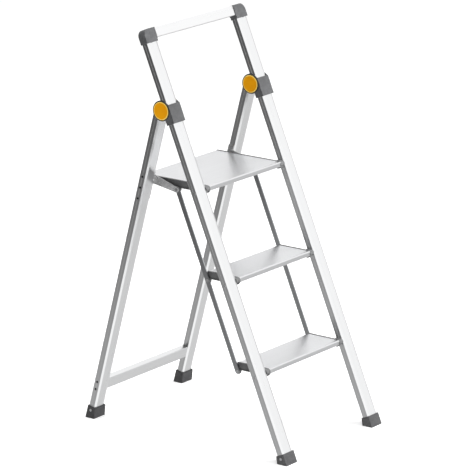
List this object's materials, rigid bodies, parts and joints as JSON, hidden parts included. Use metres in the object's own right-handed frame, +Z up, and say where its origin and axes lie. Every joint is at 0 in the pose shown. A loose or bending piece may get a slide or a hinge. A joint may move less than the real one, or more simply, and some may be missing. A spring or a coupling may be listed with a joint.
{
  "type": "folding step stool",
  "caption": "Folding aluminium step stool with a platform, ribbed treads, a hand rail, rubber feet and round yellow hinge covers.",
  "frame": {"origin": "middle of the outline on the floor, midway between the front and rear feet", "axes": "+Z up, +X to the right seen from the front, the treads are climbed from -Y"},
  "size_m": [0.44, 0.6696, 1.0913],
  "materials": {
    "stile_aluminium": "satin",
    "rail_aluminium": "satin",
    "brace_aluminium": "satin",
    "tread_aluminium": "satin",
    "link_aluminium": "satin",
    "corner_plastic": "matt",
    "bracket_plastic": "matt",
    "endcap_plastic": "matt",
    "arm_plastic": "matt",
    "foot_rubber": "matt",
    "cap_yellow": "satin",
    "rivet_steel": "satin"
  },
  "bodies": {
    "front_frame": {"left_front_stile": "stile_aluminium", "right_front_stile": "stile_aluminium", "handrail_bar": "rail_aluminium", "left_corner_cap": "corner_plastic", "right_corner_cap": "corner_plastic", "left_front_foot": "foot_rubber", "right_front_foot": "foot_rubber", "front_foot_rivets": "rivet_steel", "left_hinge_bracket": "bracket_plastic", "right_hinge_bracket": "bracket_plastic", "bracket_rivets": "rivet_steel", "left_hinge_pin": "rivet_steel", "right_hinge_pin": "rivet_steel", "left_outer_hinge_cap": "cap_yellow", "right_outer_hinge_cap": "cap_yellow", "left_inner_hinge_cap": "cap_yellow", "right_inner_hinge_cap": "cap_yellow", "tread_pivot_rivets": "rivet_steel"},
    "rear_frame": {"left_rear_stile": "stile_aluminium", "right_rear_stile": "stile_aluminium", "left_rear_foot": "foot_rubber", "right_rear_foot": "foot_rubber", "rear_foot_rivets": "rivet_steel", "left_hinge_head": "bracket_plastic", "right_hinge_head": "bracket_plastic", "rear_brace": "brace_aluminium", "brace_screws": "rivet_steel", "left_link_fitting": "arm_plastic", "right_link_fitting": "arm_plastic", "fitting_rivets": "rivet_steel", "arm_pivot_pins": "rivet_steel"},
    "platform": {"platform_plate": "tread_aluminium", "left_platform_cap": "endcap_plastic", "right_platform_cap": "endcap_plastic"},
    "mid_tread": {"mid_tread_plate": "tread_aluminium", "left_mid_tread_cap": "endcap_plastic", "right_mid_tread_cap": "endcap_plastic"},
    "lower_tread": {"lower_tread_plate": "tread_aluminium", "left_lower_tread_cap": "endcap_plastic", "right_lower_tread_cap": "endcap_plastic"},
    "left_rod": {"left_link_rod": "link_aluminium", "left_rod_pins": "rivet_steel"},
    "right_rod": {"right_link_rod": "link_aluminium", "right_rod_pins": "rivet_steel"},
    "left_arm": {"left_fold_arm": "arm_plastic", "left_arm_stud": "rivet_steel"},
    "right_arm": {"right_fold_arm": "arm_plastic", "right_arm_stud": "rivet_steel"}
  },
  "joints": [
    {"name": "rear_frame_fold", "type": "hinge", "parent": "front_frame", "child": "rear_frame", "pos_m": [0, 0.07055, 0.8849], "axis": [-1, 0, 0], "range_deg": [0, 37.97]},
    {"name": "platform_fold", "type": "hinge", "parent": "front_frame", "child": "platform", "pos_m": [0, -0.03313, 0.679], "axis": [1, 0, 0], "range_deg": [0, 67.1]},
    {"name": "mid_tread_fold", "type": "hinge", "parent": "front_frame", "child": "mid_tread", "pos_m": [0, -0.13085, 0.449], "axis": [1, 0, 0], "range_deg": [0, 67.1]},
    {"name": "lower_tread_fold", "type": "hinge", "parent": "front_frame", "child": "lower_tread", "pos_m": [0, -0.22858, 0.219], "axis": [1, 0, 0], "range_deg": [0, 67.1]},
    {"name": "left_rod_pivot", "type": "hinge", "parent": "platform", "child": "left_rod", "pos_m": [-0.1649, 0.05987, 0.666], "axis": [-1, 0, 0], "range_deg": [0, 67.1]},
    {"name": "right_rod_pivot", "type": "hinge", "parent": "platform", "child": "right_rod", "pos_m": [0.1649, 0.05987, 0.666], "axis": [-1, 0, 0], "range_deg": [0, 67.1]},
    {"name": "left_arm_pivot", "type": "hinge", "parent": "rear_frame", "child": "left_arm", "pos_m": [-0.1682, 0.13252, 0.68302], "axis": [-1, 0, 0], "range_deg": [0, 80.9]},
    {"name": "right_arm_pivot", "type": "hinge", "parent": "rear_frame", "child": "right_arm", "pos_m": [0.1682, 0.13252, 0.68302], "axis": [-1, 0, 0], "range_deg": [0, 80.9]}
  ],
  "couplings": [
    {"joint": "platform_fold", "follows": "rear_frame_fold", "ratio": 1.764},
    {"joint": "mid_tread_fold", "follows": "rear_frame_fold", "ratio": 1.764},
    {"joint": "lower_tread_fold", "follows": "rear_frame_fold", "ratio": 1.764},
    {"joint": "left_rod_pivot", "follows": "rear_frame_fold", "ratio": 1.764},
    {"joint": "right_rod_pivot", "follows": "rear_frame_fold", "ratio": 1.764},
    {"joint": "left_arm_pivot", "follows": "rear_frame_fold", "ratio": 2.1272},
    {"joint": "right_arm_pivot", "follows": "rear_frame_fold", "ratio": 2.1272}
  ]
}
